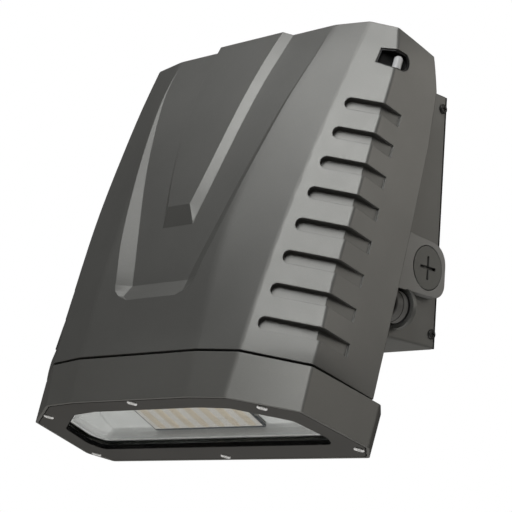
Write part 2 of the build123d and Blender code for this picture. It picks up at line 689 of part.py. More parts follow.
CARRIER_SCREWS = [(-52.0, 20.0), (52.0, 20.0), (-52.0, 38.0), (52.0, 38.0)]
for x, y in CARRIER_SCREWS:
    skirt = skirt - rod(1.7, (x, y, SKIRT_TOP - ROOF_T - 1), (x, y, SKIRT_TOP + 1))
save("skirt_frame", skirt, True)

# black seam between skirt and housing
seam_half = [
    (50.5, STATIONS[0][1]),
    STATIONS[0][3],
    STATIONS[0][4],
    (STATIONS[0][4][0] + SIDE_FLARE * 35, STATIONS[0][4][1] + 35),
]
seam_in = inset_chain(seam_half, [SEAM_INSET] * 4)
seam_ring = rounded(closed(seam_in, 48.0), 2.5)
seam_hole = inset_chain(seam_half, [SEAM_INSET + 4.0] * 4)
seam = slab(seam_ring, SKIRT_TOP, HOUSING_LOW) - slab(rounded(closed(seam_hole, 60.0), 2.0), SKIRT_TOP - 1, HOUSING_LOW + 1)
seam = seam + box(-112, 112, 24.5, 30, SKIRT_TOP, HOUSING_LOW)
seam = seam + both(box(101, 112.4, 14.5, 20.5, SKIRT_TOP, HOUSING_LOW))
for x, y in JOIN_SCREWS:
    pad = slab(Pos(x, y) * Circle(JOIN_BOSS_R), SKIRT_TOP, HOUSING_LOW)
    seam = seam + both(pad)
    seam = seam - both(rod(JOIN_SCREW_D / 2 + 0.3, (x, y, SKIRT_TOP - 1), (x, y, HOUSING_LOW + 1)))
save("seam_gasket", seam, True)

join_screws = []
for x, y in JOIN_SCREWS:
    for sign in (1, -1):
        join_screws.append(pan_screw(sign * x, y, SKIRT_TOP - ROOF_T, (0, 0, 1), JOIN_HEAD_D, JOIN_HEAD_H, JOIN_SCREW_D, 15))
save("joining_screws", gather(join_screws), True)

# ---------------------------------------------------------------- bezel, gasket, glass
bezel = slab(rounded(closed(bezel_half), 5.0), 0.0, BEZEL_T) - slab(lens_face(0.0), -1, BEZEL_T + 1)
for x, y in bezel_spots:
    bezel = bezel - rod(BEZEL_SCREW_D / 2 + 0.25, (x, y, -1), (x, y, BEZEL_T + 1))
save("bezel_plate", bezel, True)
bezel_screws = []
for x, y in bezel_spots:
    bezel_screws.append(pan_screw(x, y, 0.0, (0, 0, 1), BEZEL_SCREW_HEAD_D, BEZEL_SCREW_HEAD_H, BEZEL_SCREW_D, 7.5))
save("bezel_screws", gather(bezel_screws), True)
lens_gasket = slab(lens_face(GASKET_SEAT), BEZEL_T, glass_z0) - slab(lens_face(-GASKET_LIP), -1, 10)
lens_gasket = lens_gasket + (slab(lens_face(0.0), 0.35, glass_z0) - slab(lens_face(-GASKET_LIP), -1, 10))
save("lens_gasket", lens_gasket, True)
save("glass_lens", slab(lens_face(GASKET_SEAT), glass_z0, glass_z1), True)

# ---------------------------------------------------------------- light source
lean = math.tan(math.radians(BOARD_LEAN))


def board_z(y):
    return BOARD_Z_BACK + (BOARD_BACK - y) * lean


def leaned(x0, x1, y0, y1, t0, t1):
    """Block between two planes parallel to the board, t measured above the lit face."""
    ring = [
        (y0, board_z(y0) + t0),
        (y1, board_z(y1) + t0),
        (y1, board_z(y1) + t1),
        (y0, board_z(y0) + t1),
    ]
    face = make_face(Polyline(ring, close=True))
    return extrude((Plane.YZ * face).moved(Location((x0, 0, 0))), x1 - x0)


led_board = leaned(-BOARD_HALF_X, BOARD_HALF_X, BOARD_FRONT, BOARD_BACK, 0, BOARD_T)
board_screw_spots = [(-BOARD_HALF_X + 3.2, 14.0), (BOARD_HALF_X - 3.2, 14.0)]
roof_z = SKIRT_TOP - ROOF_T
carrier_lift = BOARD_PROUD + TRAY_WALL + 0.3
carrier = leaned(-60, 60, BOARD_FRONT - 1.0, 47.0, carrier_lift, 40)
carrier = carrier + leaned(-BOARD_HALF_X + 0.4, BOARD_HALF_X - 0.4, BOARD_FRONT + 0.4, BOARD_BACK - 0.4, BOARD_T, 20)
carrier = carrier & box(-70, 70, -30, 60, 0, roof_z)
lean_axis = (0, math.sin(math.radians(BOARD_LEAN)), math.cos(math.radians(BOARD_LEAN)))
led_screws = []
for x, y in board_screw_spots:
    z = board_z(y)
    start = (x, y - lean_axis[1] * 4, z - lean_axis[2] * 4)
    finish = (x, y + lean_axis[1] * 4.2, z + lean_axis[2] * 4.2)
    led_board = led_board - rod(1.4, start, (x, y + lean_axis[1] * 3, z + lean_axis[2] * 3))
    carrier = carrier - rod(1.2, start, finish)
    led_screws.append(pan_screw(x, y, z, lean_axis, 4.4, 1.0, 2.4, 4.0))
for x, y in CARRIER_SCREWS:
    carrier = carrier - rod(1.5, (x, y, roof_z - 5.0), (x, y, roof_z + 1))
save("led_board", led_board, True)
save("led_carrier", carrier, True)
save("board_screws", gather(led_screws), True)
carrier_screws = []
for x, y in CARRIER_SCREWS:
    carrier_screws.append(pan_screw(x, y, SKIRT_TOP, (0, 0, -1), 6.0, 1.8, 3.0, 7.6))
save("carrier_screws", gather(carrier_screws), True)
chips = []
for column in range(CHIP_COLUMNS):
    for line in range(CHIP_ROWS):
        x = (column - (CHIP_COLUMNS - 1) / 2) * CHIP_PITCH_X
        y = BOARD_FRONT + 6.0 + line * CHIP_PITCH_Y
        chips.append(leaned(x - CHIP_SIZE / 2, x + CHIP_SIZE / 2, y - CHIP_SIZE / 2, y + CHIP_SIZE / 2, -CHIP_T, 0))
save("led_chips", gather(chips), True)

# white tray round the board, its rim held between glass and skirt
tray_rim = slab(lens_face(1.4), glass_z1, glass_z1 + TRAY_WALL) - slab(lens_face(-2.2), glass_z1 - 1, glass_z1 + 3)
wall_out = loft([
    lens_face(-1.0).moved(Location((0, 0, glass_z1))),
    (Pos(0, 19.0) * RectangleRounded(150, 44, 6)).moved(Location((0, 0, roof_z))),
])
wall_in = loft([
    lens_face(-1.0 - TRAY_WALL).moved(Location((0, 0, glass_z1 - 0.01))),
    (Pos(0, 19.0) * RectangleRounded(150 - 2 * TRAY_WALL, 44 - 2 * TRAY_WALL, 5)).moved(Location((0, 0, roof_z + 0.01))),
])
floor_low = leaned(-130, 130, -40, 80, BOARD_PROUD, 60)
floor_high = leaned(-130, 130, -40, 80, BOARD_PROUD + TRAY_WALL, 60)
tray = (wall_out - wall_in) - floor_high
tray_floor = (wall_out & floor_low) - floor_high
tray = tray + tray_floor + tray_rim
tray = tray - leaned(-60.3, 60.3, BOARD_FRONT - 1.3, 47.3, BOARD_PROUD + TRAY_WALL, 60)
tray = tray - leaned(-BOARD_HALF_X - 0.3, BOARD_HALF_X + 0.3, BOARD_FRONT - 0.3, BOARD_BACK + 0.3, -3, 60)
tray = tray - slab(make_face(Polyline([(-130, -60), (130, -60), (130, 90), (-130, 90)], close=True)), roof_z, roof_z + 9)
tray = max(tray.solids(), key=lambda part: part.volume)
save("reflector_tray", tray, True)

# ---------------------------------------------------------------- yoke, head side of the hinge
COVER_OUT = cover_y1
u_outer = Pos(0, COVER_OUT + 50) * RectangleRounded(2 * ARM_OUTER_X, 100, YOKE_BEND_R + 2.0)
u_inner = Pos(0, COVER_OUT + YOKE_BACK_T + 60) * RectangleRounded(2 * ARM_INNER_X, 120, YOKE_BEND_R - 1.0)
u_bar = extrude((u_outer - u_inner), 400).moved(Location((0, 0, -60))).moved(HEAD_PLACE)
arm_low = PIVOT_Z - ARM_END_R
arm_end = PIVOT_Y + ARM_END_R
arm_rise = math.tan(math.radians(ARM_TOP_SLOPE))
far_y = PIVOT_Y - 90.0
arm_ring = [
    (arm_end, arm_low),
    (far_y, arm_low),
    (far_y, PIVOT_Z + ARM_END_R + arm_rise * (PIVOT_Y - far_y)),
    (arm_end, PIVOT_Z + ARM_END_R - arm_rise * ARM_END_R),
]
arm_face = make_face(Polyline(arm_ring, close=True))
low_corner = arm_face.vertices().sort_by_distance(Vector(*arm_ring[0], 0))[0]
arm_face = fillet(low_corner, ARM_CORNER_LOW)
top_corner = arm_face.vertices().sort_by_distance(Vector(*arm_ring[3], 0))[0]
arm_face = fillet(top_corner, ARM_CORNER_TOP)
silhouette = extrude((Plane.YZ * arm_face).moved(Location((-110, 0, 0))), 220)
back_strip = box(-110, 110, COVER_OUT - 1, COVER_OUT + YOKE_BACK_T, YOKE_BACK_LOW, YOKE_BACK_TOP)
silhouette = silhouette + back_strip.moved(HEAD_PLACE)
yoke = u_bar & silhouette
yoke = yoke - rod(HINGE_PIN_D / 2 + HINGE_RUN, (-120, PIVOT_Y, PIVOT_Z), (120, PIVOT_Y, PIVOT_Z))
cap_floor = ARM_OUTER_X + CAP_PROUD - CAP_T - CAP_AXIAL
yoke = yoke - both(rod(CAP_D / 2 + CAP_GAP, (cap_floor, PIVOT_Y, PIVOT_Z), (120, PIVOT_Y, PIVOT_Z)))
for x, z in YOKE_SCREWS:
    hole = rod(YOKE_SCREW_D / 2 + 0.4, (x, COVER_OUT - 1, z), (x, COVER_OUT + YOKE_BACK_T + 1, z))
    yoke = yoke - hole.moved(HEAD_PLACE)
cable_hole = rod(GROMMET_R + 5, (GROMMET_X, COVER_OUT - 1, GROMMET_Z), (GROMMET_X, COVER_OUT + 9, GROMMET_Z))
yoke = yoke - cable_hole.moved(HEAD_PLACE)
save("yoke", yoke)
yoke_screws = []
for x, z in YOKE_SCREWS:
    yoke_screws.append(pan_screw(x, COVER_OUT + YOKE_BACK_T, z, (0, -1, 0), 9.0, 2.8, YOKE_SCREW_D, 9.6))
save("yoke_screws", gather(yoke_screws), True)

# ---------------------------------------------------------------- wall box
rim_y = -WALL_GASKET_T
half_h = BOX_H / 2
half_w = BOX_W / 2
slope = (BOX_DEPTH_LOW - BOX_DEPTH_TOP) / BOX_H


def box_front(z):
    return -BOX_DEPTH_LOW + slope * (z + half_h)


def wedge(half_x, back, low, top, inset):
    ring = [(back, low), (box_front(low) + inset, low), (box_front(top) + inset, top), (back, top)]
    face = Plane.YZ * make_face(Polyline(ring, close=True))
    return extrude(face.moved(Location((-half_x, 0, 0))), 2 * half_x)


shell = wedge(half_w, rim_y, -half_h, half_h, 0)
shell = fillet([edge for edge in shell.edges() if edge.center().Y < rim_y - 2], BOX_EDGE_R)
cavity = wedge(half_w - BOX_WALL, 5.0, -half_h + BOX_WALL, half_h - BOX_WALL, BOX_WALL * 1.02)
wall_box = shell - cavity
wall_box = wall_box + both(rod(HINGE_BOSS_R, (HINGE_NUT_X, PIVOT_Y, PIVOT_Z), (half_w - 1, PIVOT_Y, PIVOT_Z)))
wall_box = wall_box - both(rod(HINGE_PIN_D / 2 + 0.2, (60, PIVOT_Y, PIVOT_Z), (120, PIVOT_Y, PIVOT_Z)))
boss_end = GLAND_FACE + GLAND_BOSS_LEN
gland_boss = rod(GLAND_BOSS_R, (GLAND_X, GLAND_FACE, GLAND_Z), (GLAND_X, boss_end, GLAND_Z))
fade_end = (GLAND_X - 9.0, boss_end + GLAND_BOSS_FADE, GLAND_Z)
fade = loft([
    Plane(origin=(GLAND_X, boss_end, GLAND_Z), z_dir=(0, 1, 0)) * Circle(GLAND_BOSS_R),
    Plane(origin=fade_end, z_dir=(0, 1, 0)) * Circle(6.5),
])
gland_boss = (gland_boss + fade) & box(0, 130, -60, 0, -half_h + 1, GLAND_BOSS_TOP)
wall_box = wall_box + gland_boss
wall_box = wall_box - rod(GLAND_RING_R + 0.6, (GLAND_X, GLAND_FACE, GLAND_Z), (GLAND_X, -70, GLAND_Z))
wall_box = wall_box - rod(GLAND_THREAD_R, (GLAND_X, GLAND_FACE - 1, GLAND_Z),
                          (GLAND_X, GLAND_FACE + GLAND_THREAD_LEN + 0.5, GLAND_Z))
wall_box = wall_box - rod(3.6, (GLAND_X, GLAND_FACE + GLAND_THREAD_LEN - 3.2, GLAND_Z),
                          (70, GLAND_FACE + GLAND_THREAD_LEN - 3.2, GLAND_Z))
for z in (SIDE_SCREW_Z, -SIDE_SCREW_Z):
    wall_box = wall_box - both(rod(SIDE_SCREW_D / 2 + 0.25, (80, SIDE_SCREW_Y, z), (100, SIDE_SCREW_Y, z)))
save("wall_box", wall_box)

# steel wall plate with folded tabs that the side screws bite into
plate_x = half_w - BOX_WALL - PLATE_GAP
plate_z = half_h - BOX_WALL - PLATE_GAP
plate = box(-plate_x, plate_x, -PLATE_T, 0, -plate_z, plate_z)
for z in (SIDE_SCREW_Z - 5, -SIDE_SCREW_Z + 5):
    plate = plate + both(box(plate_x - PLATE_T, plate_x, -PLATE_FLANGE, -1, z - 9, z + 9))
for z in (SIDE_SCREW_Z, -SIDE_SCREW_Z):
    plate = plate - both(rod(SIDE_SCREW_D / 2, (80, SIDE_SCREW_Y, z), (100, SIDE_SCREW_Y, z)))
plate = plate - rod(WIRE_HOLE_D / 2, (0, -9, 0), (0, 9, 0))
for z in (WALL_HOLE_SPAN_Z / 2, -WALL_HOLE_SPAN_Z / 2):
    plate = plate - both(rod(WALL_HOLE_D / 2, (WALL_HOLE_SPAN_X / 2, -9, z), (WALL_HOLE_SPAN_X / 2, 9, z)))
GROUND_AT = (34.0, -38.0)
TERMINAL_SCREWS = [(-41.0, -58.0), (-9.0, -58.0)]
plate = plate - rod(2.0, (GROUND_AT[0], -9, GROUND_AT[1]), (GROUND_AT[0], 9, GROUND_AT[1]))
for x, z in TERMINAL_SCREWS:
    plate = plate - rod(1.5, (x, -9, z), (x, 9, z))
save("wall_plate", plate)
ring_outer = box(-half_w + 0.5, half_w - 0.5, rim_y, 0, -half_h + 0.5, half_h - 0.5)
ring_x = half_w - 0.5 - WALL_GASKET_W
ring_z = half_h - 0.5 - WALL_GASKET_W
save("wall_gasket", ring_outer - box(-ring_x, ring_x, -9, 9, -ring_z, ring_z))
side_screws = []
for z in (SIDE_SCREW_Z, -SIDE_SCREW_Z):
    for sign in (1, -1):
        side_screws.append(pan_screw(sign * half_w, SIDE_SCREW_Y, z, (-sign, 0, 0), SIDE_SCREW_HEAD_D,
                                     SIDE_SCREW_HEAD_H, SIDE_SCREW_D, 7.6))
save("side_screws", gather(side_screws))

# wiring parts on the wall plate
save("ground_screw", pan_screw(GROUND_AT[0], -PLATE_T, GROUND_AT[1], (0, 1, 0), 8.0, 2.6, 4.0, 2.4))
terminal = box(-46, -4, -PLATE_T - 5, -PLATE_T, -65, -51) + box(-37, -13, -PLATE_T - 16, -PLATE_T, -67, -49)
for x, z in TERMINAL_SCREWS:
    terminal = terminal - rod(1.9, (x, -20, z), (x, 5, z))
for k in range(3):
    x = -32.5 + 7.5 * k
    terminal = terminal - rod(1.6, (x, -PLATE_T - 10, -70), (x, -PLATE_T - 10, -60))
    terminal = terminal - rod(2.0, (x, -PLATE_T - 17, -58), (x, -PLATE_T - 12, -58))
save("terminal_block", terminal)
terminal_screws = []
for x, z in TERMINAL_SCREWS:
    terminal_screws.append(pan_screw(x, -PLATE_T - 5, z, (0, 1, 0), 5.6, 2.0, 3.0, 7.3))
save("terminal_screws", gather(terminal_screws))

# ---------------------------------------------------------------- hinge
hinge_screws = []
for sign in (1, -1):
    face_x = ARM_OUTER_X + CAP_PROUD
    cap = rod(CAP_D / 2, (face_x - CAP_T, PIVOT_Y, PIVOT_Z), (face_x, PIVOT_Y, PIVOT_Z))
    cap_edge = cap.edges().filter_by(GeomType.CIRCLE).sort_by(Axis.X)[-1]
    cap = fillet(cap_edge, 0.5)
    pin = rod(HINGE_PIN_D / 2, (HINGE_NUT_X - HINGE_NUT_T - 1.2, PIVOT_Y, PIVOT_Z), (face_x - 1, PIVOT_Y, PIVOT_Z))
    cross_plane = Plane(origin=(face_x, PIVOT_Y, PIVOT_Z), z_dir=(-1, 0, 0), x_dir=(0, 1, 0))
    cross = Rectangle(CROSS_LEN, CROSS_W) + Rectangle(CROSS_W, CROSS_LEN)
    screw = cap + pin - extrude(cross_plane * cross, CROSS_DEPTH) - extrude(cross_plane * cross, -1)
    hinge_screws.append(screw if sign == 1 else mirrored(screw))
save("hinge_screws", gather(hinge_screws))
washers = []
nuts = []
for sign in (1, -1):
    washer = rod(WASHER_D / 2, (half_w, PIVOT_Y, PIVOT_Z), (ARM_INNER_X, PIVOT_Y, PIVOT_Z))
    washer = washer - rod(HINGE_PIN_D / 2 + 0.3, (80, PIVOT_Y, PIVOT_Z), (120, PIVOT_Y, PIVOT_Z))
    washers.append(washer if sign == 1 else mirrored(washer))
    nut_plane = Plane(origin=(HINGE_NUT_X, PIVOT_Y, PIVOT_Z), z_dir=(-1, 0, 0), x_dir=(0, 1, 0))
    hexagon = RegularPolygon(HINGE_NUT_AF / 2, 6, major_radius=False)
    nut = extrude(nut_plane * (hexagon - Circle(HINGE_PIN_D / 2)), HINGE_NUT_T)
    nuts.append(nut if sign == 1 else mirrored(nut))
save("friction_washers", gather(washers))
save("hinge_nuts", gather(nuts))

# ---------------------------------------------------------------- cable gland
ring_front = GLAND_FACE - GLAND_RING_T
gland_ring = rod(GLAND_RING_R, (GLAND_X, GLAND_FACE, GLAND_Z), (GLAND_X, ring_front, GLAND_Z))
gland_ring = gland_ring - rod(GLAND_THREAD_R + 0.3, (GLAND_X, 0, GLAND_Z), (GLAND_X, -60, GLAND_Z))
save("gland_washer", gland_ring)
body_len = 4.0
body_end = ring_front - body_len
thread_in = GLAND_FACE + GLAND_THREAD_LEN - 7.2
gland_body = rod(GLAND_NUT_R, (GLAND_X, ring_front, GLAND_Z), (GLAND_X, body_end, GLAND_Z))
gland_body = gland_body + rod(GLAND_THREAD_R - 0.05, (GLAND_X, thread_in, GLAND_Z), (GLAND_X, ring_front, GLAND_Z))
gland_body = gland_body - rod(4.6, (GLAND_X, 0, GLAND_Z), (GLAND_X, -60, GLAND_Z))
save("gland_body", gland_body)
nut_end = ring_front - GLAND_NUT_LEN
gland_nut = rod(GLAND_NUT_R - 0.5, (GLAND_X, body_end, GLAND_Z), (GLAND_X, nut_end, GLAND_Z))
nut_rim = gland_nut.edges().filter_by(GeomType.CIRCLE).sort_by(Axis.Y)[0]
gland_nut = fillet(nut_rim, 1.0)
for k in range(12):
    angle = math.radians(30 * k)
    groove_x = GLAND_X + (GLAND_NUT_R - 0.1) * math.cos(angle)
    groove_z = GLAND_Z + (GLAND_NUT_R - 0.1) * math.sin(angle)
    gland_nut = gland_nut - rod(0.45, (groove_x, body_end + 1, groove_z), (groove_x, nut_end - 1, groove_z))
gland_nut = gland_nut - rod(GLAND_SEAL_R, (GLAND_X, 0, GLAND_Z), (GLAND_X, -70, GLAND_Z))
save("gland_nut", gland_nut)
gland_seal = rod(GLAND_SEAL_R, (GLAND_X, body_end, GLAND_Z), (GLAND_X, nut_end - 0.6, GLAND_Z))
seal_rim = gland_seal.edges().filter_by(GeomType.CIRCLE).sort_by(Axis.Y)[0]
gland_seal = fillet(seal_rim, 0.5)
gland_seal = gland_seal - rod(GLAND_BORE_R, (GLAND_X, 0, GLAND_Z), (GLAND_X, -70, GLAND_Z))
save("gland_seal", gland_seal)
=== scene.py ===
"""Looks, light and camera for the tilting wall light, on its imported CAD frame."""
import math

import bmesh
import bpy
from mathutils import Matrix, Vector


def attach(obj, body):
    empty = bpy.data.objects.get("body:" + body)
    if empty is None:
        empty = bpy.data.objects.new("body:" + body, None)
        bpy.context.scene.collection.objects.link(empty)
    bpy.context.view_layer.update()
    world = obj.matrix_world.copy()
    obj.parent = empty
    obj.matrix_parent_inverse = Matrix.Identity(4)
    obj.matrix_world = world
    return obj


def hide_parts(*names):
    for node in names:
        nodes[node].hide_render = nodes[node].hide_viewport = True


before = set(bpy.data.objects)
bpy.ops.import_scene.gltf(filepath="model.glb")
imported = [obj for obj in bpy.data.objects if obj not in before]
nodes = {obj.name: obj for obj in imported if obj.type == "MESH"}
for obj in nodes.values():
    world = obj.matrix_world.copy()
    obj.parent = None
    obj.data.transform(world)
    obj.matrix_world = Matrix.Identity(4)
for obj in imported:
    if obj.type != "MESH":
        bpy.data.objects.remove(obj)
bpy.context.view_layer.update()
scene = bpy.context.scene

# the head leans about the hinge axis; head_point turns head measures (mm) into row metres
TILT = math.radians(15.28)
PIVOT = (-18.6, -33.7)
HEAD_PIVOT = (87.1, 132.2)

# camera of the photograph: place, direction to it from the light, and lens
VIEW_PLACE = (0.75306, -0.82479, -0.24827)
VIEW_AZ = math.radians(44.7709)
VIEW_EL = math.radians(-11.7286)
VIEW_ROLL = math.radians(4.2298)
FOCAL_PX = 1727.52
PHOTO_PX = 512.0
SENSOR = 36.0


def head_point(x, y, z):
    """Row point, in metres, of a point in head measures (mm)."""
    dy = y - HEAD_PIVOT[0]
    dz = z - HEAD_PIVOT[1]
    wy = PIVOT[0] + dy * math.cos(TILT) + dz * math.sin(TILT)
    wz = PIVOT[1] - dy * math.sin(TILT) + dz * math.cos(TILT)
    return Vector((x, wy, wz)) / 1000.0


# ---------------------------------------------------------------- material helpers
class Mat:
    """A node material with short names for what is used below."""

    def __init__(self, name):
        self.mat = bpy.data.materials.new(name)
        self.mat.use_nodes = True
        self.tree = self.mat.node_tree
        self.tree.nodes.clear()
        self.out = self.add("ShaderNodeOutputMaterial")
        self.coord = self.add("ShaderNodeTexCoord").outputs["Object"]

    def add(self, kind, **values):
        node = self.tree.nodes.new(kind)
        for key, value in values.items():
            setattr(node, key, value)
        return node

    def link(self, a, b):
        self.tree.links.new(a, b)

    def noise(self, scale, detail=2.0, rough=0.5, stretch=None):
        """Noise in the row's own coordinates, drawn out where stretch is given."""
        node = self.add("ShaderNodeTexNoise")
        node.inputs["Scale"].default_value = scale
        node.inputs["Detail"].default_value = detail
        node.inputs["Roughness"].default_value = rough
        source = self.coord
        if stretch:
            mapping = self.add("ShaderNodeMapping")
            mapping.inputs["Scale"].default_value = stretch
            self.link(self.coord, mapping.inputs["Vector"])
            source = mapping.outputs["Vector"]
        self.link(source, node.inputs["Vector"])
        return node.outputs["Fac"]

    def ramp(self, fac, stops):
        """Colour that runs through the stops, each a place from 0 to 1 and a colour."""
        node = self.add("ShaderNodeValToRGB")
        elements = node.color_ramp.elements
        while len(elements) < len(stops):
            elements.new(0.5)
        for element, (place, colour) in zip(elements, stops):
            element.position = place
            element.color = (*colour, 1.0)
        self.link(fac, node.inputs["Fac"])
        return node.outputs["Color"]

    def spread(self, fac, low, high, from_low=0.3, from_high=0.7):
        """The range from_low to from_high of a value, spread over low to high."""
        node = self.add("ShaderNodeMapRange")
        node.inputs["From Min"].default_value = from_low
        node.inputs["From Max"].default_value = from_high
        node.inputs["To Min"].default_value = low
        node.inputs["To Max"].default_value = high
        self.link(fac, node.inputs["Value"])
        return node.outputs["Result"]

    def math(self, operation, a, b=None):
        node = self.add("ShaderNodeMath", operation=operation)
        for place, value in enumerate((a, b)):
            if value is None:
                continue
            if isinstance(value, (int, float)):
                node.inputs[place].default_value = value
            else:
                self.link(value, node.inputs[place])
        return node.outputs[0]

    def mix(self, fac, a, b):
        """Colour a where fac is 0 and b where it is 1."""
        node = self.add("ShaderNodeMix", data_type="RGBA")
        for place, value in ((0, fac), (6, a), (7, b)):
            if isinstance(value, (int, float)):
                node.inputs[place].default_value = value
            elif isinstance(value, tuple):
                node.inputs[place].default_value = (*value, 1.0)
            else:
                self.link(value, node.inputs[place])
        return node.outputs[2]

    def bump(self, height, strength, distance, normal=None):
        node = self.add("ShaderNodeBump")
        node.inputs["Strength"].default_value = strength
        node.inputs["Distance"].default_value = distance
        self.link(height, node.inputs["Height"])
        if normal is not None:
            self.link(normal, node.inputs["Normal"])
        return node.outputs["Normal"]

    def soft_edges(self, radius):
        """Shading of edges as if they were rounded by that radius."""
        node = self.add("ShaderNodeBevel", samples=4)
        node.inputs["Radius"].default_value = radius
        return node.outputs["Normal"]

    def recess(self, distance):
        """1 on open faces, falling to 0 in narrow grooves of the same piece."""
        node = self.add("ShaderNodeAmbientOcclusion", samples=8, only_local=True)
        node.inputs["Distance"].default_value = distance
        return node.outputs["AO"]

    def surface(self, colour, rough, normal=None, metallic=0.0, **sockets):
        """Close the material with a shader; numbers go straight onto its sockets."""
        shader = self.add("ShaderNodeBsdfPrincipled")
        for name, value in (("Base Color", colour), ("Roughness", rough), ("Metallic", metallic)):
            if isinstance(value, tuple):
                shader.inputs[name].default_value = (*value, 1.0)
            elif isinstance(value, (int, float)):
                shader.inputs[name].default_value = value
            else:
                self.link(value, shader.inputs[name])
        if normal is not None:
            self.link(normal, shader.inputs["Normal"])
        for name, value in sockets.items():
            shader.inputs[name.replace("_", " ")].default_value = value
        self.link(shader.outputs["BSDF"], self.out.inputs["Surface"])
        return shader


def shade(colour, factor):
    """The colour made lighter or darker."""
    return tuple(min(1.0, part * factor) for part in colour)


def powder_coat(name, colour, rough, edge=0.0006, painted_groove_shade=None):
    """Fine textured powder coat on cast metal: orange peel, faint blotches, softened edges; with a groove
    distance given, narrow grooves get painted shade.
    """
    m = Mat(name)
    blotch = m.noise(14.0, 4.0, 0.55)
    tone = m.ramp(blotch, [(0.30, shade(colour, 0.94)), (0.70, shade(colour, 1.06))])
    fleck = m.noise(2600.0, 1.0)
    fleck_fac = m.spread(fleck, 0.0, 0.10, 0.52, 0.75)
    tone = m.mix(fleck_fac, tone, shade(colour, 1.9))
    if painted_groove_shade:
        # painted shade: near-black colour mixed into narrow grooves of the piece
        tone = m.mix(m.spread(m.recess(painted_groove_shade), 0.0, 1.0, 0.35, 0.75), shade(colour, 0.06), tone)
    peel = m.noise(620.0, 2.0, 0.55)
    fine = m.noise(1900.0, 2.0, 0.6)
    height = m.math("ADD", m.math("MULTIPLY", peel, 0.6), m.math("MULTIPLY", fine, 0.4))
    cast = m.noise(45.0, 3.0)
    normal = m.bump(cast, 0.03, 0.0002, m.soft_edges(edge))
    normal = m.bump(height, 0.10, 0.00025, normal)
    gloss = m.spread(m.noise(90.0, 3.0), rough - 0.008, rough + 0.012)
    m.surface(tone, gloss, normal, metallic=0.6, Specular_IOR_Level=0.5)
    return m.mat


def metal(name, colour, rough, brushed=None):
    """Bare metal with fine streaks, drawn out where brushed gives a stretch."""
    m = Mat(name)
    streak = m.noise(700.0, 3.0, 0.6, brushed)
    tone = m.ramp(streak, [(0.3, shade(colour, 0.88)), (0.7, shade(colour, 1.05))])
    dull = m.noise(60.0, 3.0)
    gloss = m.math("ADD", m.spread(dull, rough - 0.04, rough + 0.07), m.spread(streak, -0.02, 0.03))
    normal = m.bump(streak, 0.10, 0.0001, m.soft_edges(0.0003))
    m.surface(tone, gloss, normal, metallic=1.0)
    return m.mat


def rubber(name, colour, rough=0.62, sheen=0.35):
    """Dusty rubber."""
    m = Mat(name)
    dust = m.noise(160.0, 4.0, 0.6)
    tone = m.ramp(dust, [(0.35, shade(colour, 0.85)), (0.75, shade(colour, 1.3))])
    normal = m.bump(m.noise(1500.0, 2.0), 0.1, 0.0001, m.soft_edges(0.0003))
    m.surface(tone, m.spread(dust, rough - 0.06, rough + 0.08), normal, Specular_IOR_Level=sheen)
    return m.mat


def plastic(name, colour, rough, edge=0.0003, bump=0.08, **sockets):
    """Moulded plastic with faint flow marks and a fine skin."""
    m = Mat(name)
    flow = m.noise(30.0, 3.0)
    tone = m.ramp(flow, [(0.3, shade(colour, 0.95)), (0.7, shade(colour, 1.04))])
    normal = m.bump(m.noise(1100.0, 2.0), bump, 0.00015, m.soft_edges(edge))
    m.surface(tone, m.spread(m.noise(120.0, 2.0), rough - 0.03, rough + 0.05), normal, **sockets)
    return m.mat


def thin_glass(name):
    """Clear flat glass: see-through and faintly green, with a reflection that grows at a slant."""
    m = Mat(name)
    clear = m.add("ShaderNodeBsdfTransparent")
    smear = m.noise(22.0, 4.0, 0.6)
    tint = m.ramp(smear, [(0.3, (0.980, 0.988, 0.985)), (0.75, (0.988, 0.994, 0.991))])
    m.link(tint, clear.inputs["Color"])
    gloss = m.add("ShaderNodeBsdfGlossy")
    m.link(m.spread(smear, 0.015, 0.06), gloss.inputs["Roughness"])
    gloss.inputs["Color"].default_value = (0.95, 0.97, 0.97, 1.0)
    fresnel = m.add("ShaderNodeFresnel")
    fresnel.inputs["IOR"].default_value = 1.45
    path = m.add("ShaderNodeLightPath")
    hidden = m.math("MAXIMUM", path.outputs["Is Shadow Ray"], path.outputs["Is Diffuse Ray"])
    weight = m.math("MULTIPLY", fresnel.outputs["Fac"], m.math("SUBTRACT", 1.0, hidden))
    weight = m.math("MULTIPLY", weight, 0.30)
    mixer = m.add("ShaderNodeMixShader")
    m.link(weight, mixer.inputs["Fac"])
    m.link(clear.outputs["BSDF"], mixer.inputs[1])
    m.link(gloss.outputs["BSDF"], mixer.inputs[2])
    m.link(mixer.outputs["Shader"], m.out.inputs["Surface"])
    return m.mat


def give(material, *names):
    """Put the material on these CAD nodes."""
    for name in names:
        for slot in nodes[name].material_slots:
            slot.material = material


# ---------------------------------------------------------------- materials
coat_head = powder_coat("coat_head", (0.226, 0.225, 0.214), 0.45)
coat_skirt = powder_coat("coat_skirt", (0.240, 0.238, 0.224), 0.46)
coat_bezel = powder_coat("coat_bezel", (0.125, 0.122, 0.115), 0.46, 0.0003)
coat_wall = powder_coat("coat_wall", (0.262, 0.262, 0.250), 0.48)
coat_yoke = powder_coat("coat_yoke", (0.360, 0.360, 0.350), 0.46)
# the cross slots of the hinge caps get painted shade
coat_cap = powder_coat("coat_cap", (0.215, 0.217, 0.205), 0.46, painted_groove_shade=0.0018)
coat_back = powder_coat("coat_back", (0.140, 0.140, 0.134), 0.52)
give(coat_head, "head_housing")
give(coat_skirt, "skirt_frame")
give(coat_bezel, "bezel_plate")
give(coat_wall, "wall_box")
give(coat_yoke, "yoke")
give(coat_cap, "hinge_screws")
give(coat_back, "rear_cover")
give(powder_coat("coat_screws", (0.055, 0.055, 0.052), 0.4, 0.0002), "side_screws", "rear_screws")
zinc = metal("zinc", (0.60, 0.61, 0.62), 0.36)
give(zinc, "yoke_screws", "yoke_bars", "joining_screws", "carrier_screws", "board_screws")
give(zinc, "driver_screws", "terminal_screws", "hinge_nuts")
